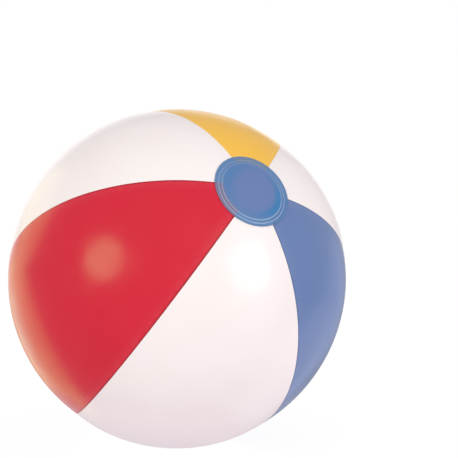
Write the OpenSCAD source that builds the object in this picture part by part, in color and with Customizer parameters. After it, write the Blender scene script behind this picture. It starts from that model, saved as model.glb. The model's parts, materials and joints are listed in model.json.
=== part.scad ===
// Inflatable beach ball: six welded film gores, two end caps and a push-in air valve with its plug.
// The ball lies on Z = 0 and touches it at the origin. Lengths are in millimetres, angles in degrees.

/* [Ball] */
// Diameter of the inflated ball, measured over its panels
ball_d = 450; // [400:10:500]
// Thickness of the vinyl film of the panels and caps
film_t = 0.25; // [0.2:0.05:0.4]
// Depth of the welded hem that turns inwards along each side of a panel
hem_w = 4; // [2:0.5:8]

/* [Lie] */
// Lean of the plain cap's pole from upright
pole_lean = 59; // [0:1:180]
// Direction that this pole leans to, from +X towards +Y
pole_bearing = -63.2; // [-180:0.1:180]
// Turn of the panels about the pole, from the lowest side of the ball
first_seam = 255.4; // [0:0.1:360]

/* [Caps] */
// Diameter of each end cap
cap_d = 93; // [86:1:120]
// Diameter of the outer weld ring of a cap
outer_weld_d = 83; // [80:1:84]
// Diameter of the inner weld ring of a cap
inner_weld_d = 75; // [75:1:78]
// Diameter of the opening that the panels leave at each pole
panel_opening_d = 73; // [40:1:73]

/* [Valve] */
// Outer diameter of the flange that is welded under the cap
flange_d = 28; // [24:1:36]
// Diameter of the recess that the stem sinks into
recess_d = 18; // [17.5:0.5:20]
// Thickness of the flange
flange_t = 0.8; // [0.6:0.1:1.2]
// Outer diameter of the stem
stem_d = 9.6; // [9:0.1:9.8]
// Length of the stem
stem_l = 16; // [14:1:20]
// Diameter of the bore that takes a pump nozzle
bore_d = 6; // [4:0.5:6]
// Diameter of the wider mouth that the plug sits in
mouth_d = 7; // [6.6:0.1:7]
// Depth of the mouth
mouth_depth = 4; // [3.6:0.1:6]
// Travel of the stem from pushed in to pulled out
stem_travel = 16; // [10:1:16]

/* [Plug] */
// Diameter of the plug's head
head_d = 11.6; // [11:0.1:12]
// Length of the plug's tapered peg
peg_l = 3.2; // [2.5:0.1:3.4]
// Distance of the strap's fold from the valve's axis
fold_x = 7; // [7:0.1:7.2]
// Width of the strap
strap_w = 3.2; // [2:0.1:4]

/* [Pose of the valve] */
// Share of its travel that the stem is pulled out
stem_out = 0; // [0:0.1:1]
// Share of its swing that the plug is open
plug_open = 0; // [0:0.1:1]
// Share of its swing that the check flap is open
flap_open = 0; // [0:0.1:1]

/* [Hidden] */
$fn = 180;

red = [0.84, 0.16, 0.25];
white = [0.98, 0.96, 0.95];
blue = [0.40, 0.50, 0.72];
yellow = [0.95, 0.76, 0.30];
cap_blue = [0.36, 0.52, 0.74];
clear_vinyl = [0.86, 0.90, 0.93];

// The film stretches unevenly, so the six equal gores end up a little wider or narrower than a sixth.
gore_count = 6;
gore_stretch = [0, 2.5, 0.5, -3.5, -0.5, 1];
gore_width = [for (stretch = gore_stretch) 360 / gore_count + stretch];
function gore_start(i) = i == 0 ? first_seam : gore_start(i - 1) + gore_width[i - 1];
hem_setback = 0.5;                      // angle by which a hem stops short of its panel's end

ball_r = ball_d / 2;
cap_gap = 0.05;                         // between a cap and the panels under it
cap_r = ball_r + cap_gap;               // radius of the inner face of a cap
bead_r = 0.5;                           // round section of a weld ring
valve_hole_r = recess_d / 2 + 1;        // hole in the valve cap

rim_h = 0.5;                            // height of the stem's rim above the ball
lip_r = stem_d / 2 + 0.6;
lip_t = 1.2;
collar_t = 0.65;
collar_gap = 0.4;                       // between the stem and the collar's inner edge
collar_wall_l = 5;                      // straight part of the collar, below the flange
moulding_gap = 0.05;                    // between pieces of the valve that are moulded as one

seal_gap = 0.1;                         // between a closed plug or flap and the stem
head_rim_t = 1;
head_dome_h = 0.8;
peg_fit = 0.08;                         // radial clearance of the peg at the mouth
peg_taper = 0.82;                       // how much smaller the radius is at the tip
plug_swing = 140;

strap_t = 0.8;
strap_drop = 3.7;                       // from the rim down to the strap's foot on the stem
strap_end_gap = 0.3;                    // keeps the plug's half of the strap clear of the fold
fold_h = rim_h + seal_gap / 2;          // height of the strap's fold

flap_t = 0.6;
flap_r = 4.1;
flap_hinge_x = 4.3;
flap_hinge_w = 2.5;
flap_h = rim_h - stem_l - seal_gap / 2; // height of the flap's hinge
flap_swing = 60;

// Colatitude of a circle of diameter d on the ball
function colatitude(d) = asin(d / ball_d);

// From a frame with the plain cap's pole on +Z and the ball's centre at its origin to the ball as it lies
module place_ball() {
    translate([0, 0, ball_r])
        rotate([0, pole_lean, pole_bearing])
            children();
}

// From a frame with +Z out along the valve and its origin on the ball's surface
module place_valve() {
    place_ball()
        rotate([180, 0, 0])
            translate([0, 0, ball_r])
                children();
}

// The same frame, carried along by the stem
module place_stem() {
    place_valve()
        translate([0, 0, stem_out * stem_travel])
            children();
}

// Turns about an axis along Y through [x, 0, z]; a positive angle lifts what lies on the -X side
module swing(angle, x, z) {
    translate([x, 0, z])
        rotate([0, angle, 0])
            translate([-x, 0, -z])
                children();
}

// Half a ring of outer radius r and thickness t, beside the Z axis, from one colatitude to another
module arc_band(r, t, from, to) {
    reach = 3 * r;
    intersection() {
        difference() {
            circle(r = r);
            circle(r = r - t);
        }
        polygon([
            [0, 0],
            [reach * sin(from), reach * cos(from)],
            if (from < 60 && to > 60) [reach, reach],
            if (from < 120 && to > 120) [reach, -reach],
            [reach * sin(to), reach * cos(to)]
        ]);
    }
}

// One flat hem: a strip of film in the plane of a seam
module hem() {
    opening = colatitude(panel_opening_d);
    rotate([90, 0, 0])
        linear_extrude(height = film_t)
            arc_band(ball_r - film_t / 2, hem_w, opening + hem_setback, 180 - opening - hem_setback);
}

// A film gore from pole to pole, with the hems that join it to its neighbours
module gore(i) {
    opening = colatitude(panel_opening_d);
    rotate([0, 0, gore_start(i)]) {
        rotate_extrude(angle = gore_width[i])
            arc_band(ball_r, film_t, opening, 180 - opening);
        mirror([0, 1, 0])
            hem();
        rotate([0, 0, gore_width[i]])
            hem();
    }
}

module panel_red() {
    color(red) place_ball() gore(0);
}

module panel_white_front() {
    color(white) place_ball() gore(1);
}

module panel_blue() {
    color(blue) place_ball() gore(2);
}

module panel_white_side() {
    color(white) place_ball() gore(3);
}

module panel_yellow() {
    color(yellow) place_ball() gore(4);
}

module panel_white_top() {
    color(white) place_ball() gore(5);
}

// The raised ring that a round weld leaves on a cap
module weld_ring(d) {
    angle = colatitude(d);
    translate([cap_r * sin(angle), (cap_r + film_t / 2) * cos(angle)])
        intersection() {
            circle(r = bead_r);
            rotate(-angle)
                translate([-bead_r, 0])
                    square([2 * bead_r, bead_r]);
        }
}

// Section of an end cap: film on the ball's own curve with two weld rings
module cap_section() {
    arc_band(cap_r + film_t, film_t, 0, colatitude(cap_d));
    weld_ring(outer_weld_d);
    weld_ring(inner_weld_d);
}

module plain_cap() {
    color(cap_blue)
        place_ball()
            rotate_extrude()
                cap_section();
}

module valve_cap() {
    color(cap_blue)
        place_ball()
            rotate([180, 0, 0])
                rotate_extrude()
                    difference() {
                        cap_section();
                        square([valve_hole_r, 2 * ball_r]);
                    }
}

// Curved washer under the valve cap
module valve_flange() {
    color(clear_vinyl)
        place_ball()
            rotate([180, 0, 0])
                rotate_extrude()
                    difference() {
                        arc_band(ball_r, flange_t, 0, colatitude(flange_d));
                        square([recess_d / 2, 2 * ball_r]);
                    }
}

// Soft bowl between flange and stem, as it sits when the stem is in; pulling the stem turns it inside out
module valve_collar() {
    wall_r = recess_d / 2 - moulding_gap;
    inner_r = stem_d / 2 + collar_gap;
    bend_r = wall_r - inner_r;
    color(clear_vinyl)
        place_valve()
            rotate_extrude() {
                translate([wall_r - collar_t, -collar_wall_l])
                    square([collar_t, collar_wall_l]);
                translate([inner_r, -collar_wall_l])
                    intersection() {
                        difference() {
                            circle(r = bend_r);
                            circle(r = bend_r - collar_t);
                        }
                        translate([0, -bend_r])
                            square(bend_r);
                    }
            }
}

// Tube with a lip at its mouth and a bore for a pump nozzle
module valve_stem() {
    color(clear_vinyl)
        place_stem()
            translate([0, 0, rim_h])
                difference() {
                    union() {
                        translate([0, 0, -stem_l])
                            cylinder(d = stem_d, h = stem_l);
                        translate([0, 0, -lip_t])
                            cylinder(r = lip_r, h = lip_t);
                    }
                    translate([0, 0, -stem_l - 1])
                        cylinder(d = bore_d, h = stem_l + 2);
                    translate([0, 0, -mouth_depth])
                        cylinder(d = mouth_d, h = mouth_depth + 1);
                }
}

// A flat bar of the strap, standing on height z, from the round wall of radius r out to x
module strap_bar(r, x, z) {
    difference() {
        translate([0, -strap_w / 2, z])
            cube([x, strap_w, strap_t]);
        translate([0, 0, z - 1])
            cylinder(r = r, h = strap_t + 2);
    }
}

// Foot on the stem's side and the upright part that rises from it to the fold
module strap_stem_half() {
    color(clear_vinyl)
        place_stem() {
            strap_bar(stem_d / 2 + moulding_gap, fold_x, rim_h - strap_drop);
            translate([fold_x - strap_t, -strap_w / 2, rim_h - strap_drop])
                cube([strap_t, strap_w, strap_drop]);
        }
}

// Short bar from the fold to the plug's head
module strap_plug_half() {
    color(clear_vinyl)
        place_stem()
            swing(plug_open * plug_swing, fold_x, fold_h)
                strap_bar(head_d / 2 + moulding_gap, fold_x - strap_end_gap, rim_h + seal_gap);
}

// Domed head with a tapered peg that stops the stem's mouth
module valve_plug() {
    head_r = head_d / 2;
    peg_r = mouth_d / 2 - peg_fit;
    dome_r = (head_r * head_r + head_dome_h * head_dome_h) / (2 * head_dome_h);
    color(clear_vinyl)
        place_stem()
            swing(plug_open * plug_swing, fold_x, fold_h)
                translate([0, 0, rim_h + seal_gap]) {
                    cylinder(r = head_r, h = head_rim_t);
                    translate([0, 0, -peg_l])
                        cylinder(r1 = peg_r - peg_taper, r2 = peg_r, h = peg_l);
                    rotate_extrude()
                        intersection() {
                            translate([0, head_rim_t + head_dome_h - dome_r])
                                circle(r = dome_r);
                            translate([0, head_rim_t])
                                square([head_r, head_dome_h]);
                        }
                }
}

// Disc that closes the inner end of the stem against the air inside
module check_flap() {
    color(clear_vinyl)
        place_stem()
            swing(-flap_open * flap_swing, flap_hinge_x, flap_h)
                translate([0, 0, rim_h - stem_l - seal_gap - flap_t]) {
                    cylinder(r = flap_r, h = flap_t);
                    translate([0, -flap_hinge_w / 2, 0])
                        cube([flap_hinge_x, flap_hinge_w, flap_t]);
                }
}

panel_red();
panel_white_front();
panel_blue();
panel_white_side();
panel_yellow();
panel_white_top();
plain_cap();
valve_cap();
valve_flange();
valve_collar();
valve_stem();
strap_stem_half();
strap_plug_half();
valve_plug();
check_flap();
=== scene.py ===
import json
import math
from collections import namedtuple

import bmesh
import bpy
import numpy as np
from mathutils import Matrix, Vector


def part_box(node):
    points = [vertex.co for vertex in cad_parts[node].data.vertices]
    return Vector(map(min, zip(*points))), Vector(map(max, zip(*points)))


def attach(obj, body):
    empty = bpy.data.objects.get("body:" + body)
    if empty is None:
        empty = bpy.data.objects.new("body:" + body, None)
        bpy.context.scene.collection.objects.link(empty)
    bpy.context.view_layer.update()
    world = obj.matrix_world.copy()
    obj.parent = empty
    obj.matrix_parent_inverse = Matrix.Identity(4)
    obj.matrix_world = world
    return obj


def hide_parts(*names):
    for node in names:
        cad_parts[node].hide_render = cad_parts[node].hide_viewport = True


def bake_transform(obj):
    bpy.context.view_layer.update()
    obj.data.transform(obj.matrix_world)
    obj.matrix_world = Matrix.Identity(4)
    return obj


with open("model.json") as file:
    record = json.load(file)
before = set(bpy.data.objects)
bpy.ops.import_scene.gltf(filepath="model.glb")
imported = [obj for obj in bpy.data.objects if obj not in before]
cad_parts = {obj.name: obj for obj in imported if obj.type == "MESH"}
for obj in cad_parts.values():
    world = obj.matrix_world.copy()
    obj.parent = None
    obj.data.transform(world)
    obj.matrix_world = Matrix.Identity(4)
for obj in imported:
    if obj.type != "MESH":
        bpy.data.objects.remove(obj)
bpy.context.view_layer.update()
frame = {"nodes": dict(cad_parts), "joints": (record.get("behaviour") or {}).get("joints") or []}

MM = 0.001

# ---- Where the ball, its poles and its valve are, from the CAD frame ------------------

JOINTS = {joint["name"]: joint for joint in frame["joints"]}
PANELS = [
    "panel_red", "panel_white_front", "panel_blue", "panel_white_side", "panel_yellow", "panel_white_top",
]


def panel_bounds():
    """Lowest and highest corner of the six panels together."""
    lows, highs = zip(*(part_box(name) for name in PANELS))
    return Vector(map(min, *lows)), Vector(map(max, *highs))


panels_low, panels_high = panel_bounds()
CENTRE = (panels_low + panels_high) / 2
BALL_R = (panels_high.z - panels_low.z) / 2
SPHERE_R = BALL_R / MM                                              # the same in millimetres

VALVE_Z = Vector(JOINTS["stem_pull"]["axis"]).normalized()          # out along the valve
POLE_Z = -VALVE_Z                                                   # out through the plain cap
POLE_X = (Vector((0, 0, -1)) - POLE_Z * -POLE_Z.z).normalized()     # towards the ball's lowest side
POLE_Y = POLE_Z.cross(POLE_X)
POLE_AXES = np.array((POLE_X, POLE_Y, POLE_Z), float)
VALVE_X = POLE_X                                                    # the strap's side of the valve
VALVE_Y = VALVE_Z.cross(VALVE_X)
VALVE_ORIGIN = CENTRE + VALVE_Z * BALL_R


def valve_point(x, y, height):
    """The point at x, y across the valve and height above the ball's surface, in millimetres."""
    return VALVE_ORIGIN + (VALVE_X * x + VALVE_Y * y + VALVE_Z * height) * MM


def around_poles(name):
    """x, y and z of a CAD node's vertices in millimetres from the ball's centre, z towards the plain cap."""
    points = np.array([v.co for v in frame["nodes"][name].data.vertices], float)
    return ((points - np.array(CENTRE)) @ POLE_AXES.T / MM).T


def radii(name):
    """Smallest and largest distance of a CAD node from the axis through the poles, in millimetres."""
    x, y, _ = around_poles(name)
    distance = np.hypot(x, y)
    return float(distance.min()), float(distance.max())


def panel_span(name):
    """Longitude in degrees at which a panel starts, and its width."""
    x, y, _ = around_poles(name)
    middle = math.degrees(math.atan2(y.mean(), x.mean()))
    around = (np.degrees(np.arctan2(y, x)) - middle + 180) % 360 - 180
    return middle + around.min(), around.max() - around.min()


# ---- Camera ---------------------------------------------------------------------------

CAMERA_ELEVATION = 5.0
CAMERA_DISTANCE = 4.853             # from the ball's centre, in ball radii
CAMERA_LENS = 63.2
CAMERA_SHIFT = (0.1135, 0.1057)     # the ball sits left of and below the picture's middle

tilt = math.radians(CAMERA_ELEVATION)
TO_CAMERA = Vector((0, -math.cos(tilt), math.sin(tilt)))
CAMERA_UP = Vector((0, math.sin(tilt), math.cos(tilt)))
CAMERA_RIGHT = Vector((1, 0, 0))

camera_data = bpy.data.cameras.new("camera")
camera_data.lens = CAMERA_LENS
camera_data.shift_x, camera_data.shift_y = CAMERA_SHIFT
camera_data.clip_start = 0.05
camera = bpy.data.objects.new("camera", camera_data)
camera.location = CENTRE + TO_CAMERA * CAMERA_DISTANCE * BALL_R
camera.rotation_euler = (-TO_CAMERA).to_track_quat("-Z", "Y").to_euler()
bpy.context.scene.collection.objects.link(camera)
bpy.context.scene.camera = camera


# ---- Small numeric helpers ------------------------------------------------------------

def smooth_step(low, high, value):
    """0 below low, 1 above high, and a smooth rise between them; a fall where high is the lower one."""
    share = np.clip((value - low) / (high - low), 0, 1)
    return share * share * (3 - 2 * share)


def bump(value, centre, half_width):
    """A smooth hill of height 1 at centre that reaches 0 at half_width on either side."""
    share = np.clip(1 - ((value - centre) / half_width) ** 2, 0, 1)
    return share * share


def smooth_noise(places, cell, seed):
    """A smooth random curve between -1 and 1, with a new random height every cell."""
    cells = np.asarray(places, float) / cell
    below = np.floor(cells).astype(int)
    first = below.min()
    heights = np.random.default_rng(seed).uniform(-1, 1, below.max() - first + 2)
    share = smooth_step(0, 1, cells - below)
    return heights[below - first] * (1 - share) + heights[below - first + 1] * share


def smooth_noise_2d(u, v, cell, seed):
    """A smooth random surface between -1 and 1 over coordinates u and v."""
    columns = np.floor(u / cell).astype(int)
    rows = np.floor(v / cell).astype(int)
    columns_first, rows_first = columns.min(), rows.min()
    shape = (rows.max() - rows_first + 2, columns.max() - columns_first + 2)
    heights = np.random.default_rng(seed).uniform(-1, 1, shape)
    across = smooth_step(0, 1, u / cell - columns)
    along = smooth_step(0, 1, v / cell - rows)
    column, row = columns - columns_first, rows - rows_first
    near = heights[row, column] * (1 - across) + heights[row, column + 1] * across
    far = heights[row + 1, column] * (1 - across) + heights[row + 1, column + 1] * across
    return near * (1 - along) + far * along


# ---- Mesh helpers ---------------------------------------------------------------------

FILM_T = 0.25                   # thickness of the film in millimetres, as in the CAD
SHARP_ANGLE = 40                # degrees; edges that turn further stay sharp
LATHE_SEGMENTS = 96


def add_mesh(name, points, faces, attributes=None):
    """A smooth-shaded mesh object with named values at its points."""
    mesh = bpy.data.meshes.new(name)
    mesh.from_pydata([tuple(p) for p in points], [], faces)
    for key, values in (attributes or {}).items():
        kind, field = ("FLOAT_COLOR", "color") if np.ndim(values) > 1 else ("FLOAT", "value")
        layer = mesh.attributes.new(key, kind, "POINT")
        layer.data.foreach_set(field, np.asarray(values, np.float32).ravel())
    merge_and_face_outwards(mesh)
    mesh.shade_smooth()
    mesh.set_sharp_from_angle(angle=math.radians(SHARP_ANGLE))
    piece = bpy.data.objects.new(name, mesh)
    bpy.context.scene.collection.objects.link(piece)
    return piece


def merge_and_face_outwards(mesh):
    """Joins points that fall on each other, such as those at a pole, and turns every face outwards."""
    work = bmesh.new()
    work.from_mesh(mesh)
    bmesh.ops.remove_doubles(work, verts=work.verts, dist=1e-7)
    bmesh.ops.dissolve_degenerate(work, edges=work.edges, dist=1e-8)
    bmesh.ops.recalc_face_normals(work, faces=work.faces)
    work.to_mesh(mesh)
    work.free()


def grid_faces(rows, columns, wrap):
    """Quads of a grid whose points are numbered row by row; wrap joins the last column to the first."""
    last = columns if wrap else columns - 1
    return [
        (i * columns + j, i * columns + (j + 1) % columns,
         (i + 1) * columns + (j + 1) % columns, (i + 1) * columns + j)
        for i in range(rows - 1) for j in range(last)
    ]


def inward_normals(grid):
    """Unit normals of a grid of points about the ball's centre, on the side that faces the centre."""
    normals = np.cross(np.gradient(grid, axis=0), np.gradient(grid, axis=1))
    normals /= np.maximum(np.linalg.norm(normals, axis=2, keepdims=True), 1e-12)
    row, column = grid.shape[0] // 2, grid.shape[1] // 2
    return -normals if normals[row, column] @ grid[row, column] > 0 else normals


def film_piece(name, grid, inward, attributes, wrap=False):
    """A closed sheet of film: the grid is its outer face, and inward the directions towards the inner one."""
    rows, columns, _ = grid.shape
    inner = grid + inward * FILM_T * MM
    count = rows * columns
    faces = grid_faces(rows, columns, wrap)
    faces += [tuple(count + k for k in reversed(face)) for face in faces]
    border = [[i * columns + j for j in range(columns)] for i in (0, rows - 1)]
    if wrap:
        border = [row + row[:1] for row in border]
    else:
        border += [[i * columns + j for i in range(rows)] for j in (0, columns - 1)]
    for line in border:
        faces += [(a, b, b + count, a + count) for a, b in zip(line, line[1:])]
    points = np.concatenate([grid.reshape(-1, 3), inner.reshape(-1, 3)])
    doubled = {}
    for key, values in attributes.items():
        flat = np.reshape(values, (count, -1)) if np.ndim(values) > 2 else np.ravel(values)
        doubled[key] = np.concatenate([flat, flat])
    return add_mesh(name, points, faces, doubled)


def rounded(outline, radius, steps=4):
    """A closed outline of (x, y) corners, all rounded; a third number in a corner is a radius of its own."""
    path = []
    for before, corner, after in zip(outline[-1:] + outline[:-1], outline, outline[1:] + outline[:1]):
        here = np.array(corner[:2], float)
        back = np.array(before[:2], float) - here
        ahead = np.array(after[:2], float) - here
        back_length, ahead_length = np.linalg.norm(back), np.linalg.norm(ahead)
        back, ahead = back / back_length, ahead / ahead_length
        wanted = corner[2] if len(corner) > 2 else radius
        half_turn = math.acos(float(np.clip(back @ ahead, -1, 1))) / 2
        reach = min(wanted / math.tan(half_turn), back_length * 0.49, ahead_length * 0.49) if wanted else 0
        if reach < 1e-6:
            path.append(tuple(here))
            continue
        for k in range(steps + 1):
            share = k / steps
            path.append(tuple(here + back * reach * (1 - share) ** 2 + ahead * reach * share ** 2))
    return path


def lathe(name, outline):
    """A closed outline of (radius, height) in millimetres, turned round the valve's axis."""
    turns = [2 * math.pi * k / LATHE_SEGMENTS for k in range(LATHE_SEGMENTS)]
    points = [valve_point(r * math.cos(turn), r * math.sin(turn), h) for r, h in outline for turn in turns]
    faces = grid_faces(len(outline), LATHE_SEGMENTS, wrap=True)
    last = (len(outline) - 1) * LATHE_SEGMENTS
    for k in range(LATHE_SEGMENTS):
        following = (k + 1) % LATHE_SEGMENTS
        faces.append((last + k, last + following, following, k))
    return add_mesh(name, points, faces)


def ride(piece, body, slot_name, *nodes):
    """piece moves with a CAD body and stands for these CAD nodes; slot_name is not used."""
    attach(piece, body)
    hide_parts(*nodes)


# ---- Node helpers ---------------------------------------------------------------------

def srgb(red, green, blue):
    """A display colour of 0 to 255 as a linear colour for a shader."""
    def linear(level):
        share = level / 255
        return share / 12.92 if share <= 0.04045 else ((share + 0.055) / 1.055) ** 2.4
    return (linear(red), linear(green), linear(blue), 1.0)


def new_material(name):
    """An empty node material, its nodes and a function that links two sockets."""
    material = bpy.data.materials.new(name)
    material.use_nodes = True
    tree = material.node_tree
    tree.nodes.clear()
    return material, tree.nodes, tree.links.new


def attribute(nodes, key):
    """The outputs of a node that reads the mesh's values of that name."""
    node = nodes.new("ShaderNodeAttribute")
    node.attribute_name = key
    return node.outputs


def show(nodes, link, shader):
    """Makes a shader the material's surface."""
    output = nodes.new("ShaderNodeOutputMaterial")
    link(shader, output.inputs["Surface"])


def noise_node(nodes, link, place, scale, detail):
    """A noise texture over the given coordinates; returns its 0 to 1 output."""
    noise = nodes.new("ShaderNodeTexNoise")
    noise.inputs["Scale"].default_value = scale
    noise.inputs["Detail"].default_value = detail
    link(place, noise.inputs["Vector"])
    return noise.outputs["Fac"]


def ranged(nodes, link, value, old_range, new_range):
    """value taken smoothly from one range (low, high) to another, held at the ends."""
    node = nodes.new("ShaderNodeMapRange")
    node.interpolation_type = "SMOOTHSTEP"
    for key, number in zip(("From Min", "From Max", "To Min", "To Max"), old_range + new_range):
        node.inputs[key].default_value = number
    link(value, node.inputs["Value"])
    return node.outputs["Result"]


def mixed_colour(nodes, link, factor, first, second):
    """A colour between first and second; each is a colour or a socket."""
    node = nodes.new("ShaderNodeMix")
    node.data_type = "RGBA"
    link(factor, node.inputs["Factor"])
    for socket, colour in ((node.inputs[6], first), (node.inputs[7], second)):
        if isinstance(colour, tuple):
            socket.default_value = colour
        else:
            link(colour, socket)
    return node.outputs[2]


def bump_node(nodes, link, height, distance, strength, normal=None):
    """A bump of the given height socket, whose full range is distance metres high."""
    node = nodes.new("ShaderNodeBump")
    node.inputs["Strength"].default_value = strength
    node.inputs["Distance"].default_value = distance
    link(height, node.inputs["Height"])
    if normal is not None:
        link(normal, node.inputs["Normal"])
    return node.outputs["Normal"]


# ---- Materials ------------------------------------------------------------------------

VINYL_IOR = 1.53
WHITE_LIGHT = (1.0, 1.0, 1.0, 1.0)
PANEL_ROUGHNESS = (0.20, 0.27)  # clouds of gloss take it from the first to the second
CAP_ROUGHNESS = (0.21, 0.28)
VALVE_ROUGHNESS = (0.20, 0.30)
WELD_SHADE = 0.60               # brightness of the darker line along a weld, as a share of the deep ink colour
HAZE = (0.9, 0.88, 0.9, 1.0)    # colour of the bloom on the film beside a seam
HAZE_SHARE = 0.02               # how much of it shows right at the seam
VALVE_OPACITY = 0.86
VALVE_TINT = (0.9, 0.94, 0.97, 1.0)         # of what shows through it

CAP_INK, CAP_DEEP_INK = srgb(102, 129, 181), srgb(97, 126, 179)
CAP_DARK_REFLECTION = srgb(54, 127, 183)              # painted reflection: deeper blue where darker surroundings would be mirrored
CAP_RING = srgb(186, 214, 245)              # painted highlight along the weld rings, and the paler pressed film of the knurls
VALVE_MILK, VALVE_DEEP_MILK = srgb(230, 236, 241), srgb(216, 226, 234)

# Scales of the noise patterns, in cells for each metre, and heights of the bumps, in metres.
MOTTLE = 14.0
STREAKS = 120.0
GLOSS_CLOUDS = 35.0
SLOW_WAVES, SLOW_WAVE_H = 28.0, 0.0003
GRAIN, GRAIN_H = 700.0, 0.00003
VALVE_CLOUDS = 180.0
VALVE_GRAIN, VALVE_GRAIN_H = 2500.0, 0.00002
FILM_BUMP, VALVE_BUMP = 0.5, 0.6            # strength of those bumps
NOISE_RANGE = (0.3, 0.7)        # between these levels of a noise its effect sets in
MOTTLE_RANGE = (0.35, 0.7)
STREAK_SHARES = (0.4, 1.0)      # how much of the haze the streaks leave


def film_ink(nodes, link, colour, deep):
    """Colour of printed film: ink mottled from colour to deep, darker along welds and hazy beside seams."""
    place = nodes.new("ShaderNodeTexCoord").outputs["Object"]
    mottle = noise_node(nodes, link, place, MOTTLE, detail=4.0)
    ink = mixed_colour(nodes, link, ranged(nodes, link, mottle, MOTTLE_RANGE, (0.0, 1.0)), colour, deep)
    streaks = noise_node(nodes, link, place, STREAKS, detail=2.0)
    haze = nodes.new("ShaderNodeMath")
    haze.operation = "MULTIPLY"
    link(ranged(nodes, link, attribute(nodes, "seam")["Fac"], (0.0, 1.0), (0.0, HAZE_SHARE)), haze.inputs[0])
    link(ranged(nodes, link, streaks, NOISE_RANGE, STREAK_SHARES), haze.inputs[1])
    hazed = mixed_colour(nodes, link, haze.outputs[0], ink, HAZE)
    weld_ink = tuple(level * WELD_SHADE for level in deep[:3]) + (1.0,)
    return mixed_colour(nodes, link, attribute(nodes, "weld")["Fac"], hazed, weld_ink)


def film_shader(nodes, link, base, roughness, gloss_tint=WHITE_LIGHT):
    """Glossy vinyl over a colour socket, with slow waves, fine grain and a range of roughness."""
    place = nodes.new("ShaderNodeTexCoord").outputs["Object"]
    shader = nodes.new("ShaderNodeBsdfPrincipled")
    link(base, shader.inputs["Base Color"])
    cloud = noise_node(nodes, link, place, GLOSS_CLOUDS, detail=3.0)
    link(ranged(nodes, link, cloud, NOISE_RANGE, roughness), shader.inputs["Roughness"])
    shader.inputs["IOR"].default_value = VINYL_IOR
    shader.inputs["Specular Tint"].default_value = gloss_tint
    waves = noise_node(nodes, link, place, SLOW_WAVES, detail=1.0)
    grain = noise_node(nodes, link, place, GRAIN, detail=2.0)
    wavy = bump_node(nodes, link, waves, SLOW_WAVE_H, FILM_BUMP)
    link(bump_node(nodes, link, grain, GRAIN_H, FILM_BUMP, wavy), shader.inputs["Normal"])
    return shader.outputs["BSDF"]


def film_material(name, colour, deep, gloss_tint=WHITE_LIGHT):
    """Opaque printed film of a panel."""
    material, nodes, link = new_material(name)
    ink = film_ink(nodes, link, colour, deep)
    show(nodes, link, film_shader(nodes, link, ink, PANEL_ROUGHNESS, gloss_tint))
    return material


def cap_material(name):
    """Blue film of a cap: a deeper blue band inside the rings as a painted darker reflection, tinted by the
    panels under its skirt, paler on its weld rings as a painted highlight and on its knurls where the pressed
    film is paler.
    """
    material, nodes, link = new_material(name)
    ink = film_ink(nodes, link, CAP_INK, CAP_DEEP_INK)
    # Painted reflection: the deeper blue band stands in for darker surroundings mirrored in the film, and the
    # greyer middle for bright ones.
    inside = mixed_colour(nodes, link, attribute(nodes, "pulled")["Fac"], ink, CAP_DARK_REFLECTION)
    skirt = attribute(nodes, "behind")["Color"]
    both = mixed_colour(nodes, link, attribute(nodes, "over_panels")["Fac"], inside, skirt)
    # Painted highlight along the weld rings; paler pressed film on the knurls.
    pressed = mixed_colour(nodes, link, attribute(nodes, "ring")["Fac"], both, CAP_RING)
    show(nodes, link, film_shader(nodes, link, pressed, CAP_ROUGHNESS))
    return material


def valve_material(name):
    """Milky clear moulded vinyl."""
    material, nodes, link = new_material(name)
    place = nodes.new("ShaderNodeTexCoord").outputs["Object"]
    shader = nodes.new("ShaderNodeBsdfPrincipled")
    cloud = noise_node(nodes, link, place, VALVE_CLOUDS, detail=3.0)
    cloud_share = ranged(nodes, link, cloud, NOISE_RANGE, (0.0, 1.0))
    milk = mixed_colour(nodes, link, cloud_share, VALVE_MILK, VALVE_DEEP_MILK)
    link(milk, shader.inputs["Base Color"])
    link(ranged(nodes, link, cloud, NOISE_RANGE, VALVE_ROUGHNESS), shader.inputs["Roughness"])
    shader.inputs["IOR"].default_value = VINYL_IOR
    grain = noise_node(nodes, link, place, VALVE_GRAIN, detail=2.0)
    link(bump_node(nodes, link, grain, VALVE_GRAIN_H, VALVE_BUMP), shader.inputs["Normal"])
    clear = nodes.new("ShaderNodeBsdfTransparent")
    clear.inputs["Color"].default_value = VALVE_TINT
    mix = nodes.new("ShaderNodeMixShader")
    mix.inputs["Fac"].default_value = VALVE_OPACITY
    link(clear.outputs["BSDF"], mix.inputs[1])
    link(shader.outputs["BSDF"], mix.inputs[2])
    show(nodes, link, mix.outputs["Shader"])
    return material


CAP_FILM = cap_material("film_cap_blue")
VALVE_VINYL = valve_material("valve_vinyl")

# A kind of film: its material and record slot, the colour of a cap's skirt where it lies on it, how far
# the middle of its panels stands proud in ball radii, and how strongly the line along its welds shows.
Film = namedtuple("Film", "material slot skirt bulge weld_line")

WHITE = Film(
    film_material("film_white", srgb(249, 248, 246), srgb(247, 245, 243)),
    "film_white", skirt=srgb(93, 134, 181), bulge=0.010, weld_line=0.0,
)
RED = Film(
    film_material("film_red", srgb(216, 24, 61), srgb(214, 22, 59), gloss_tint=(0.46, 1.0, 0.58, 1.0)),
    "film_red", skirt=srgb(124, 122, 154), bulge=0.001, weld_line=1.0,
)
BLUE = Film(
    film_material("film_blue", srgb(103, 131, 181), srgb(100, 129, 180)),
    "film_blue", skirt=srgb(86, 128, 177), bulge=-0.0015, weld_line=0.5,
)
YELLOW = Film(
    film_material("film_yellow", srgb(250, 200, 74), srgb(248, 197, 70)),
    "film_yellow", skirt=srgb(109, 134, 165), bulge=-0.006, weld_line=0.0,
)
PANEL_FILMS = {
    "panel_red": RED, "panel_white_front": WHITE, "panel_blue": BLUE,
    "panel_white_side": WHITE, "panel_yellow": YELLOW, "panel_white_top": WHITE,
}

# ---- Panels: gores of film that bulge between sunken seams ----------------------------

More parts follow.
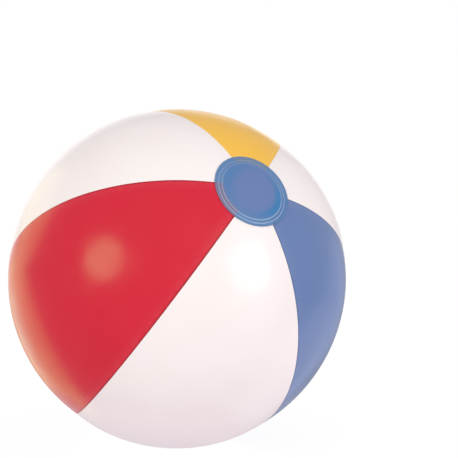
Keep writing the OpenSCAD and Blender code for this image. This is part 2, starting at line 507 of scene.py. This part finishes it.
# Lengths are in millimetres.
HEM_DEPTH = 4.0                 # of the hem that turns inwards along a seam
FOLD_R = 0.35                   # outer radius of the fold between panel and hem
SEAM_GAP = 0.02                 # each hem stays this far off the seam's plane
PANEL_ROWS = 241
PANEL_COLUMNS = 57
COLUMN_CROWDING = 1.25          # above 1, columns close up towards the seams
FOLD_STEPS = 4
HEM_STEPS = 3
SEAM_DIP = 0.004                # how deep a seam lies at the ball's mid height, in ball radii
SEAM_STEEPNESS = 2.6            # the higher, the later across a panel its fall to the seam begins
SEAM_DIP_POWER = 0.7            # of the distance from the poles' axis, by which the dip shrinks there
POLE_DROP = 0.35                # how far the panels' ends lie below the ball's own sphere
WELD_CORE, WELD_W = 0.5, 2.0    # the darker line beside a weld is full up to the first and gone at the second
HAZE_REACH = 16.0               # how far the haze beside a seam runs into the panel
PUCKER = 0.07                   # height of the puckers beside a seam
PUCKER_REACH = 13.0             # how far they run into the panel
PUCKER_LENGTH = 7.0             # along the seam
PUCKER_SLANT = 0.35
SHORT_PUCKERS = 0.6             # height of those half as long, as a share of the others'
SEAMS_APART = 1000              # keeps the puckers of a panel's two seams unlike each other
UNDULATION = 0.05               # height of the film's slow waves
UNDULATION_LENGTH = 45.0
UNDULATION_SPREAD = 110         # half a panel's width, as the waves are counted across it
CONTACT_SOFTNESS = 0.12         # rounding between the flat contact patch and the free film
CONTACT_REACH = 8.0             # height over the floor up to which the film is looked at for contact

# Distances from the poles' axis, in ball radii, between which these set in or, for the drop, die out.
BULGE_RANGE = (0.25, 0.8)
POLE_DROP_RANGE = (0.22, 0.45)
PUCKER_RANGE = (0.2, 0.5)       # and of the slow waves


def pole_directions(colatitude, longitude):
    """Unit vectors of the row frame at colatitudes and longitudes in radians about the plain cap's pole."""
    colatitude, longitude = np.broadcast_arrays(colatitude, longitude)
    ring = np.sin(colatitude)
    local = np.stack([ring * np.cos(longitude), ring * np.sin(longitude), np.cos(colatitude)], axis=-1)
    return local @ POLE_AXES


def opening_angle(name):
    """Colatitude in radians at which a panel ends, next to the plain cap's pole."""
    x, y, z = around_poles(name)
    return float(np.arctan2(np.hypot(x, y), z).min())


def panel_height(colatitude, share, upward, side_distance, bulge, seed):
    """Height of a panel's outer face over the ball's sphere.

    share runs from -1 to 1 across the panel, upward is how far the film faces up, from -1 to 1, and
    side_distance is the way to the nearer seam.
    """
    ring = np.sin(colatitude)
    arc = SPHERE_R * colatitude
    fall = np.abs(share) ** SEAM_STEEPNESS
    low_seams_closed = 1 + upward                                   # by the ball's weight
    dip = SEAM_DIP * SPHERE_R * low_seams_closed * ring ** SEAM_DIP_POWER * fall
    middle = bulge * SPHERE_R * smooth_step(*BULGE_RANGE, ring) * (1 - fall)
    near_pole = POLE_DROP * (1 - smooth_step(*POLE_DROP_RANGE, ring))
    between_poles = smooth_step(*PUCKER_RANGE, ring)
    fade = np.exp(-(side_distance / PUCKER_REACH) ** 2) * between_poles
    slanted = arc + np.where(share < 0, 0, SEAMS_APART) + PUCKER_SLANT * side_distance
    long_puckers = smooth_noise(slanted, PUCKER_LENGTH, seed)
    short_puckers = smooth_noise(slanted, PUCKER_LENGTH / 2, seed + 1)
    puckers = PUCKER * fade * (long_puckers + SHORT_PUCKERS * short_puckers)
    noise = smooth_noise_2d(share * UNDULATION_SPREAD, arc, UNDULATION_LENGTH, seed + 2)
    waves = UNDULATION * noise * between_poles
    return middle - dip - near_pole + puckers + waves


def rest_on_floor(grid):
    """The points about the ball's centre, with those that would sink into the floor pressed flat on it."""
    floor_height = -CENTRE.z / MM
    depth = grid[..., 2] - floor_height
    pressed = grid.copy()
    pressed[..., 2] = floor_height + 0.5 * (depth + np.sqrt(depth ** 2 + CONTACT_SOFTNESS ** 2))
    near = depth < CONTACT_REACH
    return np.where(near[..., None], pressed, grid)


def hem_columns(edge, seam, colatitude, side):
    """Columns of points of a fold and its hem beyond an edge of a panel; side is -1 or 1."""
    longitude = np.full(PANEL_ROWS, seam)
    outward = pole_directions(colatitude, longitude)
    sideways = pole_directions(math.pi / 2, longitude + math.pi / 2) * side
    turns = [math.pi / 2 * k / FOLD_STEPS for k in range(1, FOLD_STEPS + 1)]
    fold = [
        edge + sideways * FOLD_R * math.sin(turn) - outward * FOLD_R * (1 - math.cos(turn))
        for turn in turns
    ]
    hem = [fold[-1] - outward * (HEM_DEPTH - FOLD_R) * k / HEM_STEPS for k in range(1, HEM_STEPS + 1)]
    return np.stack(fold + hem, axis=1)


def make_panel(name, seed):
    """A gore with its two hems, as a closed sheet of film."""
    film = PANEL_FILMS[name]
    start, width = map(math.radians, panel_span(name))
    end = opening_angle(name)
    colatitude = np.linspace(end, math.pi - end, PANEL_ROWS)[:, None]
    spread = np.linspace(-1, 1, PANEL_COLUMNS)[None, :]
    share = np.sign(spread) * (1 - (1 - np.abs(spread)) ** COLUMN_CROWDING)
    half = width / 2
    ring_r = SPHERE_R * np.sin(colatitude)
    fold_angle = (FOLD_R + SEAM_GAP) / ring_r                       # longitude that a fold takes up
    directions = pole_directions(colatitude, start + half + share * (half - fold_angle))
    side_distance = (1 - np.abs(share)) * half * ring_r
    height = panel_height(colatitude, share, directions[..., 2], side_distance, film.bulge, seed)
    skin = directions * (SPHERE_R + height)[..., None]

    first_hem = hem_columns(skin[:, 0], start, colatitude[:, 0], -1)
    last_hem = hem_columns(skin[:, -1], start + width, colatitude[:, 0], 1)
    grid = rest_on_floor(np.concatenate([first_hem[:, ::-1], skin, last_hem], axis=1))
    on_hem = np.zeros(first_hem.shape[:2])
    seam_distance = np.concatenate([on_hem, side_distance, on_hem], axis=1)
    seam = 1 - smooth_step(0, HAZE_REACH, seam_distance)
    weld = (1 - smooth_step(WELD_CORE, WELD_W, seam_distance)) * film.weld_line
    points = np.array(CENTRE) + grid * MM
    attributes = {"seam": seam, "weld": weld}
    piece = film_piece(name + "_film", points, inward_normals(grid), attributes)
    piece.data.materials.append(film.material)
    ride(piece, "ball", film.slot, name)


for index, panel_name in enumerate(PANELS):
    make_panel(panel_name, seed=10 * index)

# ---- End caps: flattened discs of film with two weld rings and a free skirt -----------

# Lengths are in millimetres, and a longitude of 0 lies towards the ball's lowest side.
CAP_GAP = 0.05                  # between the panels and a cap
CAP_DROP = 1.0                  # how far the middle of the plain cap is flattened
OUTER_RING = 0.892              # place of the weld rings, in cap radii
INNER_RING = 0.806
RING_W = 0.55                   # half the width of a weld ring
RING_H = 0.35
RING_SHIFT = 1.8                # how far the rings' middle lies off the cap's middle
RING_BEARING = -40.0            # longitude in degrees towards which it lies
RING_FADE = 0.38                # how far a ring's painted highlight rises and falls around the cap
RING_PALEST = -0.17             # longitude in radians at which its painted highlight is brightest
SKIRT_START, SKIRT_FULL = 0.79, 0.80        # between these cap radii the panels begin to show through
SKIRT_LIFT = 0.12               # how far the free edge stands off the panels
SKIRT_RIPPLE = 0.08
RIPPLES_PER_RADIAN = 20
RIPPLE_JOIN = 0.4               # radians over which the ripples die down where the circle closes
CAP_WAVE_H = 0.06
CAP_WAVE_LENGTH = 14.0
CAP_WAVE_END = 0.8              # the waves die out between this share of the inner ring's place and the ring
REFLECTION_BAND_BEARING = 52.0             # longitude in degrees towards which the painted darker reflection is strongest
REFLECTION_BAND_ACROSS = 0.2               # how strong it is square across that
REFLECTION_BAND_UNEVEN = 0.25              # share that it loses half way round
REFLECTION_BAND_START, REFLECTION_BAND_FULL = 0.48, 0.67          # in cap radii, where the painted darker reflection sets in and is full
START_LEAN, FULL_LEAN = 0.075, 0.015        # how much further out these lie towards the bearing
REFLECTION_BAND_RIPPLE = 0.01
CAP_SEGMENTS = 432
FINE_START = 0.74               # in cap radii, from where the rows of points lie close together
FINE_ROWS = 52
ROW_STEP = 1.6                  # between rows inside that
KNURL_ROW_STEP = 0.35
KNURLS = 54                     # ribs of the weld that holds the flange
KNURL_H = 0.22
KNURL_PALENESS = 0.5
PINPOINT_R = 0.01               # of the innermost ring of points in the plain cap's middle


def cap_rows(inner_r, knurl_r, outer_r):
    """Radii of the rings of points of a cap, close together at the knurled weld and at the weld rings."""
    fine_r = outer_r * FINE_START
    knurled = np.arange(inner_r, knurl_r, KNURL_ROW_STEP)
    coarse = np.arange(max(inner_r, knurl_r), fine_r, ROW_STEP)
    fine = np.linspace(fine_r, outer_r, FINE_ROWS)
    return np.concatenate([knurled, coarse, fine])


def ring_hills(radius, angle, outer_r):
    """1 along the crests of the two weld rings, 0 beside them."""
    bearing = math.radians(RING_BEARING)
    x = radius * np.cos(angle) - RING_SHIFT * math.cos(bearing)
    y = radius * np.sin(angle) - RING_SHIFT * math.sin(bearing)
    from_middle = np.hypot(x, y)
    return sum(bump(from_middle, place * outer_r, RING_W) for place in (OUTER_RING, INNER_RING))


def knurl_ribs(radius, angle, inner_r, knurl_r):
    """1 along the ribs of the knurled weld between two radii, 0 beside them; none where knurl_r is 0."""
    if not knurl_r:
        return np.zeros(radius.shape)
    band = bump(radius, (inner_r + knurl_r) / 2, (knurl_r - inner_r) / 2)
    return band * (0.5 + 0.5 * np.cos(KNURLS * angle))


def reflection_band_share(share, angle, ripple):
    """Share of the painted darker reflection, from 0 in the cap's middle; share is the place in cap radii."""
    lean = np.cos(angle - math.radians(REFLECTION_BAND_BEARING))
    strength = (REFLECTION_BAND_ACROSS + (1 - REFLECTION_BAND_ACROSS) * lean ** 2) * (1 - REFLECTION_BAND_UNEVEN + REFLECTION_BAND_UNEVEN * lean)
    start, end = REFLECTION_BAND_START + START_LEAN * lean, REFLECTION_BAND_FULL + FULL_LEAN * lean
    return strength * smooth_step(start, end, share + REFLECTION_BAND_RIPPLE * ripple)


def skirt_colours(angle):
    """The skirt's colour at each longitude, tinted by the panel that it lies on."""
    colours = np.zeros(angle.shape + (4,))
    for name, film in PANEL_FILMS.items():
        start, width = panel_span(name)
        covered = (np.degrees(angle) - start) % 360 < width
        colours[covered] = film.skirt
    return colours


def make_cap(name, sign, drop, inner_r, knurl_r, seed):
    """An end cap over the plain pole, sign 1, or the valve's, sign -1, from inner_r out.

    It is knurled out to knurl_r, and drop is how far its middle is flattened.
    """
    _, outer_r = radii(name)
    turns = np.linspace(0, 2 * math.pi, CAP_SEGMENTS, endpoint=False)
    radius, angle = np.meshgrid(cap_rows(inner_r, knurl_r, outer_r), turns, indexing="ij")
    share = radius / outer_r
    rings = ring_hills(radius, angle, outer_r)
    knurls = knurl_ribs(radius, angle, inner_r, knurl_r)
    ripple = smooth_noise(angle * RIPPLES_PER_RADIAN, 1.0, seed)
    ripple = ripple * smooth_step(0, RIPPLE_JOIN, angle) * smooth_step(0, RIPPLE_JOIN, 2 * math.pi - angle)
    waves = smooth_noise_2d(radius * np.cos(angle), radius * np.sin(angle), CAP_WAVE_LENGTH, seed + 1)
    height = CAP_GAP + FILM_T - drop * (1 - smooth_step(0.0, INNER_RING, share)) + RING_H * rings
    height += smooth_step(OUTER_RING, 1.0, share) * (SKIRT_LIFT + SKIRT_RIPPLE * ripple)
    height += CAP_WAVE_H * waves * smooth_step(INNER_RING, INNER_RING * CAP_WAVE_END, share)
    height += KNURL_H * np.sqrt(knurls)

    colatitude = np.arcsin(radius / (SPHERE_R + CAP_GAP + FILM_T))
    directions = pole_directions(colatitude if sign > 0 else math.pi - colatitude, angle)
    points = np.array(CENTRE) + directions * (SPHERE_R + height)[..., None] * MM
    over_panels = smooth_step(SKIRT_START, SKIRT_FULL, share)
    # The rings' painted highlight, strongest at one longitude and weakest opposite it.
    ring_highlight = 1 - RING_FADE + RING_FADE * np.cos(angle - RING_PALEST)
    no_seam = np.zeros(share.shape)
    attributes = {
        # painted highlight on the rings, paler pressed film on the knurls
        "ring": rings * ring_highlight + KNURL_PALENESS * knurls,
        "over_panels": over_panels,
        # painted darker reflection inside the rings
        "pulled": reflection_band_share(share, angle, ripple) * (1 - over_panels),
        "behind": skirt_colours(angle),
        "seam": no_seam,
        "weld": no_seam,
    }
    piece = film_piece(name + "_film", points, -directions, attributes, wrap=True)
    piece.data.materials.append(CAP_FILM)
    ride(piece, "ball", "film_cap_blue", name)


valve_hole_r, _ = radii("valve_cap")
_, flange_r = radii("valve_flange")
make_cap("plain_cap", 1, CAP_DROP, PINPOINT_R, 0.0, seed=101)
make_cap("valve_cap", -1, 0.0, valve_hole_r, flange_r, seed=131)

# ---- Valve ----------------------------------------------------------------------------

# Radii and heights are in millimetres about the valve's axis, with height 0 on the ball's surface.
EDGE_R = 0.2                    # rounding of moulded edges, where an outline gives no other
RECESS_R = 9.0                  # of the hole in the flange
FLANGE_T = 0.8
FLANGE_EDGE_R = 0.25
COLLAR_T = 0.65
COLLAR_WALL_R = 8.95            # of the collar's straight wall, which hangs in the flange
COLLAR_WALL_L = 5.0
COLLAR_FOOT_R = 5.2             # at which its floor has turned level, next to the stem
COLLAR_LIP = 0.25               # how far its top edge stands out from its wall
COLLAR_LIP_L = 0.4
COLLAR_GAP = 0.01               # between its inner edge and the stem
STEM_R = 4.8
STEM_LOW = -15.5
BORE_R = 3.0                    # of the bore, which is the pump port
MOUTH_R = 3.5                   # of the wider mouth that the plug's peg closes
MOUTH_LOW = -3.5
RIM_R = 5.4                     # of the rim round the mouth
RIM_LOW, RIM_TOP = -0.7, 0.5
PLUG_R = 5.8
PLUG_LOW = 0.6
PLUG_RIM_T = 1.0
PLUG_DOME = 0.8                 # how far its head rises over the rim
PLUG_DIMPLE = 0.45              # depth of the grip dimple in its middle
DIMPLE_FLOOR_R, DIMPLE_R = 3.4, 4.4
PEG_L = 3.2
PEG_TIP_R, PEG_ROOT_R = 2.6, 3.42
FLAP_R = 4.1
FLAP_LOW = -16.2
FLAP_T = 0.6
FLAP_EDGE = 0.12                # width of its bevel
FLAP_SEGMENTS = 40
TAB_REACH = 4.3                 # of the tab that the flap hangs from
TAB_HALF_WIDTH = 1.25
STRAP_W = 3.2
STRAP_T = 0.8
STRAP_REACH = 6.6               # of the upright stretch between its two ends
STRAP_LOW, STRAP_TOP = -2.8, 1.0
STRAP_GAP = 0.06                # between its ends and the stem or the plug's head
STRAP_STEP = 0.25               # between rows of points along the strap
STRAP_FOLD, FOLD_HALF_L = 0.4, 1.3          # height of its fold's middle, and how far it runs up and down
FOLD_THINNING = 0.5             # share of the strap's thickness that the fold gives up


def sphere_height(radius, sphere_r):
    """Height over the valve's origin of a sphere about the ball's centre, at a distance from the axis."""
    return math.sqrt(sphere_r ** 2 - radius ** 2) - SPHERE_R


def make_flange():
    """The curved washer that is welded under the valve cap."""
    places = np.linspace(RECESS_R, flange_r, 8)
    upper = [(r, sphere_height(r, SPHERE_R)) for r in places]
    lower = [(r, sphere_height(r, SPHERE_R - FLANGE_T)) for r in places[::-1]]
    piece = lathe("valve_flange_washer", rounded(upper + lower, FLANGE_EDGE_R, steps=3))
    piece.data.materials.append(VALVE_VINYL)
    ride(piece, "ball", "valve_vinyl", "valve_flange")


def make_collar():
    """The soft bowl between flange and stem."""
    wall_steps, bend_steps = 8, 10
    outer_bend_r = COLLAR_WALL_R - COLLAR_FOOT_R
    inner_bend_r = outer_bend_r - COLLAR_T
    lip_r = COLLAR_WALL_R + COLLAR_LIP
    outer = [(lip_r, 0.0), (lip_r, -COLLAR_LIP_L)]
    inner = [(COLLAR_WALL_R - COLLAR_T, 0.0)]
    for k in range(1, wall_steps + 1):
        height = -COLLAR_WALL_L * k / wall_steps
        outer.append((COLLAR_WALL_R, height))
        inner.append((COLLAR_WALL_R - COLLAR_T, height))
    for path, bend_r in ((outer, outer_bend_r), (inner, inner_bend_r)):
        for k in range(1, bend_steps + 1):
            turn = math.pi / 2 * k / bend_steps
            path.append((COLLAR_FOOT_R + bend_r * math.cos(turn), -COLLAR_WALL_L - bend_r * math.sin(turn)))
        path.append((STEM_R + COLLAR_GAP, -COLLAR_WALL_L - bend_r))
    piece = lathe("valve_collar_bowl", outer + inner[::-1])
    piece.data.materials.append(VALVE_VINYL)
    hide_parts("valve_collar")
    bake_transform(piece)


def make_stem():
    """The tube with its rim, a wider mouth for the plug and a bore for the pump's nozzle."""
    outline = [
        (BORE_R, STEM_LOW, 0.2), (STEM_R, STEM_LOW, 0.35), (STEM_R, RIM_LOW, 0.3),
        (RIM_R, RIM_LOW, 0.25), (RIM_R, RIM_TOP, 0.35), (MOUTH_R, RIM_TOP, 0.3),
        (MOUTH_R, MOUTH_LOW, 0.1), (BORE_R, MOUTH_LOW, 0.2),
    ]
    piece = lathe("valve_stem_tube", rounded(outline, EDGE_R))
    piece.data.materials.append(VALVE_VINYL)
    ride(piece, "stem", "valve_vinyl", "valve_stem")


def make_plug():
    """The domed head with a grip dimple in its middle, and the tapered peg under it."""
    steps = 24
    rim_top = PLUG_LOW + PLUG_RIM_T
    outline = [(0.0, PLUG_LOW - PEG_L, 0), (PEG_TIP_R, PLUG_LOW - PEG_L, 0.4), (PEG_ROOT_R, PLUG_LOW, 0.15)]
    outline += [(PLUG_R, PLUG_LOW, 0.2), (PLUG_R, rim_top, 0.35)]
    for k in range(1, steps + 1):
        radius = PLUG_R * (1 - k / steps)
        dimple = PLUG_DIMPLE * float(smooth_step(DIMPLE_R, DIMPLE_FLOOR_R, radius))
        rise = PLUG_DOME * (1 - (radius / PLUG_R) ** 4) - dimple
        outline.append((radius, rim_top + rise, 0))
    piece = lathe("valve_plug_cap", rounded(outline, 0))
    piece.data.materials.append(VALVE_VINYL)
    ride(piece, "plug", "valve_vinyl", "valve_plug")


def make_flap():
    """The check disc with the tab that it hangs from."""
    corner = math.asin(TAB_HALF_WIDTH / FLAP_R)
    turns = np.linspace(corner, 2 * math.pi - corner, FLAP_SEGMENTS)
    outline = [(FLAP_R * math.cos(turn), FLAP_R * math.sin(turn)) for turn in turns]
    outline += [(TAB_REACH, -TAB_HALF_WIDTH), (TAB_REACH, TAB_HALF_WIDTH)]
    layers = ((0, FLAP_EDGE), (FLAP_EDGE, 0), (FLAP_T - FLAP_EDGE, 0), (FLAP_T, FLAP_EDGE))
    points = []
    for height, inset in layers:
        for x, y in outline:
            shrink = 1 - inset / math.hypot(x, y)
            points.append(valve_point(x * shrink, y * shrink, FLAP_LOW + height))
    count = len(outline)
    last = (len(layers) - 1) * count
    faces = grid_faces(len(layers), count, wrap=True)
    faces += [tuple(range(count)), tuple(last + k for k in range(count))]
    piece = add_mesh("check_flap_disc", points, faces)
    piece.data.materials.append(VALVE_VINYL)
    ride(piece, "flap", "valve_vinyl", "check_flap")


def with_finer_steps(route, step):
    """The points of a route, with more between those that lie further apart than a step."""
    finer = [route[0]]
    for start, end in zip(route, route[1:]):
        pieces = max(1, int(np.linalg.norm(end - start) / step))
        finer += [start + (end - start) * k / pieces for k in range(1, pieces + 1)]
    return np.array(finer)


def make_strap():
    """The band from the stem's side up to the fold and over to the plug."""
    corners = [
        (STEM_R + STRAP_GAP, STRAP_LOW), (STRAP_REACH, STRAP_LOW, 0.8),
        (STRAP_REACH, STRAP_TOP, 0.6), (PLUG_R + STRAP_GAP, STRAP_TOP),
    ]
    line = with_finer_steps(np.array(rounded(corners, 0.0, steps=8), float), STRAP_STEP)
    direction = np.gradient(line, axis=0)
    direction /= np.linalg.norm(direction, axis=1, keepdims=True)
    across = np.stack([-direction[:, 1], direction[:, 0]], axis=1)
    half_t, half_w = STRAP_T / 2, STRAP_W / 2
    section = rounded([(-half_t, -half_w), (half_t, -half_w), (half_t, half_w), (-half_t, half_w)], EDGE_R)
    slim = 1 - FOLD_THINNING * bump(line[:, 1], STRAP_FOLD, FOLD_HALF_L)
    points = [
        valve_point(place[0] + side[0] * s * share, t, place[1] + side[1] * s * share)
        for place, side, share in zip(line, across, slim) for s, t in section
    ]
    count = len(section)
    last = (len(line) - 1) * count
    faces = grid_faces(len(line), count, wrap=True)
    faces += [tuple(range(count)), tuple(last + k for k in range(count))]
    piece = add_mesh("plug_strap", points, faces)
    piece.data.materials.append(VALVE_VINYL)
    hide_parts("strap_stem_half", "strap_plug_half")
    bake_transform(piece)


make_flange()
make_collar()
make_stem()
make_plug()
make_flap()
make_strap()

# ---- Floor, world and lights ----------------------------------------------------------

FLOOR_HALF = 40.0               # metres, so that its edge never shows
FLOOR_GREY = (0.12, 0.12, 0.12, 1.0)
FLOOR_GLOW = 0.92
FLOOR_ROUGHNESS = 0.9
FLOOR_FILL = (0.80, 0.67, 0.73, 1.0)        # what the floor sends up to the ball

# What the film mirrors is dim, with soft round patches in it: a direction along the camera's right, up
# and back, the angles in degrees between which the patch fades out, and its colour. Later ones lie over
# earlier ones.
DIM = (0.42, 0.42, 0.40, 1.0)
LOW_WALL = (0.76, 0.73, 0.79, 1.0)
SWEEP = (1.50, 1.50, 1.50, 1.0)
PALE_TOP = (1.0, 1.0, 1.0, 1.0)
SIDE_RIGHT = (0.64, 0.66, 0.80, 1.0)
LOW_RIGHT = (0.90, 0.91, 1.00, 1.0)
WARM_WALL = (1.36, 1.24, 0.74, 1.0)
COOL_WALL = (1.25, 1.5, 1.15, 1.0)
MIRRORED_PATCHES = [
    ((-0.05, -0.75, -0.65), 24, 40, LOW_WALL),
    ((-0.28, 0.28, -0.9), 7, 25, SWEEP),
    ((0.25, 0.22, -0.94), 5, 15, SWEEP),
    ((0.10, 0.48, -0.87), 2, 11, PALE_TOP),
    ((0.74, -0.14, -0.66), 14, 22, SIDE_RIGHT),
    ((0.72, -0.58, -0.38), 23.5, 28, LOW_RIGHT),
    ((-0.68, -0.31, -0.665), 20, 30, WARM_WALL),
    ((-0.60, -0.20, -0.78), 3, 15, COOL_WALL),
    ((-0.31, -0.50, -0.81), 4, 14, LOW_WALL),
    ((-0.78, 0.34, -0.53), 15, 18.5, WARM_WALL),
]

# The light that falls on the ball from all round, in the same way.
OVERHEAD = (0.65, 0.52, 0.61, 1.0)
FRONT = (0.91, 0.91, 0.885, 1.0)
BEHIND = (1.15, 1.15, 1.15, 1.0)
LIT_PATCHES = [
    ((0, 0, 1), 0, 100, FRONT),
    ((0, 0, -1), 0, 80, BEHIND),
]


def mixed_shader(nodes, link, factor, first, second):
    """A shader between first and second."""
    node = nodes.new("ShaderNodeMixShader")
    link(factor, node.inputs["Fac"])
    link(first, node.inputs[1])
    link(second, node.inputs[2])
    return node.outputs["Shader"]


def add_floor():
    """A wide pale floor that glows a little, as a lit studio sweep does; it shows in no reflection."""
    half = FLOOR_HALF
    corners = [(-half, -half, 0), (half, -half, 0), (half, half, 0), (-half, half, 0)]
    floor_mesh = bpy.data.meshes.new("floor")
    floor_mesh.from_pydata(corners, [], [(0, 1, 2, 3)])
    floor = bpy.data.objects.new("floor", floor_mesh)
    bpy.context.scene.collection.objects.link(floor)
    material, nodes, link = new_material("floor")
    shader = nodes.new("ShaderNodeBsdfPrincipled")
    shader.inputs["Base Color"].default_value = FLOOR_GREY
    shader.inputs["Roughness"].default_value = FLOOR_ROUGHNESS
    shader.inputs["Specular IOR Level"].default_value = 0.0
    shader.inputs["Emission Color"].default_value = WHITE_LIGHT
    shader.inputs["Emission Strength"].default_value = FLOOR_GLOW
    fill = nodes.new("ShaderNodeEmission")
    fill.inputs["Color"].default_value = FLOOR_FILL
    to_camera = nodes.new("ShaderNodeLightPath").outputs["Is Camera Ray"]
    show(nodes, link, mixed_shader(nodes, link, to_camera, fill.outputs["Emission"], shader.outputs["BSDF"]))
    floor_mesh.materials.append(material)
    floor.visible_glossy = False


def from_camera_frame(right, up, back):
    """A unit vector of the row frame from one along the camera's right, up and back."""
    return (CAMERA_RIGHT * right + CAMERA_UP * up + TO_CAMERA * back).normalized()


def surroundings(nodes, link, base, patches):
    """A background of a base colour with soft round patches in it."""
    place = nodes.new("ShaderNodeTexCoord").outputs["Generated"]
    colour = base
    for direction, inner_angle, outer_angle, patch_colour in patches:
        facing = nodes.new("ShaderNodeVectorMath")
        facing.operation = "DOT_PRODUCT"
        link(place, facing.inputs[0])
        facing.inputs[1].default_value = tuple(from_camera_frame(*direction))
        fade_out = (math.cos(math.radians(outer_angle)), math.cos(math.radians(inner_angle)))
        share = ranged(nodes, link, facing.outputs["Value"], fade_out, (0.0, 1.0))
        colour = mixed_colour(nodes, link, share, colour, patch_colour)
    background = nodes.new("ShaderNodeBackground")
    link(colour, background.inputs["Color"])
    return background.outputs["Background"]


def add_world():
    """White to the camera, with one set of surroundings for what the film mirrors and one for its light."""
    world = bpy.data.worlds.new("world")
    bpy.context.scene.world = world
    world.use_nodes = True
    tree = world.node_tree
    tree.nodes.clear()
    nodes, link = tree.nodes, tree.links.new
    mirrored = surroundings(nodes, link, DIM, MIRRORED_PATCHES)
    lit = surroundings(nodes, link, OVERHEAD, LIT_PATCHES)
    seen = nodes.new("ShaderNodeBackground")
    seen.inputs["Color"].default_value = WHITE_LIGHT
    path = nodes.new("ShaderNodeLightPath").outputs
    unseen = mixed_shader(nodes, link, path["Is Glossy Ray"], lit, mirrored)
    both = mixed_shader(nodes, link, path["Is Camera Ray"], unseen, seen.outputs["Background"])
    output = nodes.new("ShaderNodeOutputWorld")
    link(both, output.inputs["Surface"])


def add_softbox(name, direction, half_angle, colour, distance=2.2, radiance=3.6):
    """A round softbox in a direction given along the camera's right, up and back, aimed at the ball."""
    towards = from_camera_frame(*direction)
    radius = distance * math.tan(math.radians(half_angle))
    light = bpy.data.lights.new(name, "AREA")
    light.shape = "DISK"
    light.size = 2 * radius
    light.energy = radiance * math.pi * (math.pi * radius ** 2)
    light.color = colour
    lamp = bpy.data.objects.new(name, light)
    lamp.location = CENTRE + towards * distance
    lamp.rotation_euler = (-towards).to_track_quat("-Z", "Y").to_euler()
    bpy.context.scene.collection.objects.link(lamp)


add_floor()
add_world()
add_softbox("softbox_left", (-0.699, 0.179, 0.692), half_angle=12.0, colour=(1.0, 0.98, 0.80))
add_softbox("softbox_right", (0.701, 0.142, 0.699), half_angle=14.0, colour=(1.0, 0.98, 0.92))

bpy.context.scene.view_settings.view_transform = "Standard"
bpy.context.scene.view_settings.look = "None"
